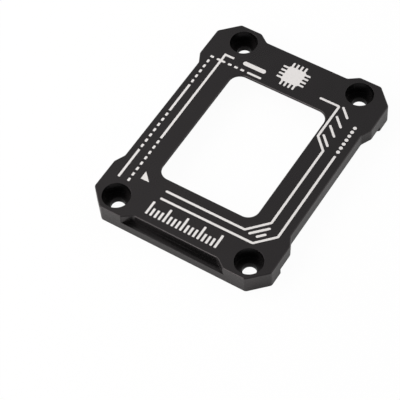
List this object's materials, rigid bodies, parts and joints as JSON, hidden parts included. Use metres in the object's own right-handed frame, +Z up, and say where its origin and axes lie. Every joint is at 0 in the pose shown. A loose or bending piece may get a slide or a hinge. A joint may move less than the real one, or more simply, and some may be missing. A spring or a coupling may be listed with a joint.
{
  "type": "cpu socket retention frame",
  "caption": "Flat milled frame that clamps a rectangular processor into its board socket, with an open window, corner ears and counterbored screw holes.",
  "frame": {"origin": "centre of the outline on the board side, the plane that the feet rest on", "axes": "+X along the short side, +Y along the long side towards the pair of holes that stand closer together, +Z up from the board"},
  "size_m": [0.054, 0.071, 0.006],
  "materials": {
    "anodised_aluminium": "fine blasted surface, anodised and dyed black",
    "laser_mark": "matt white line work on the top face, bleached into the black oxide"
  },
  "bodies": {
    "root": {"retention_frame": "anodised_aluminium"}
  },
  "joints": []
}
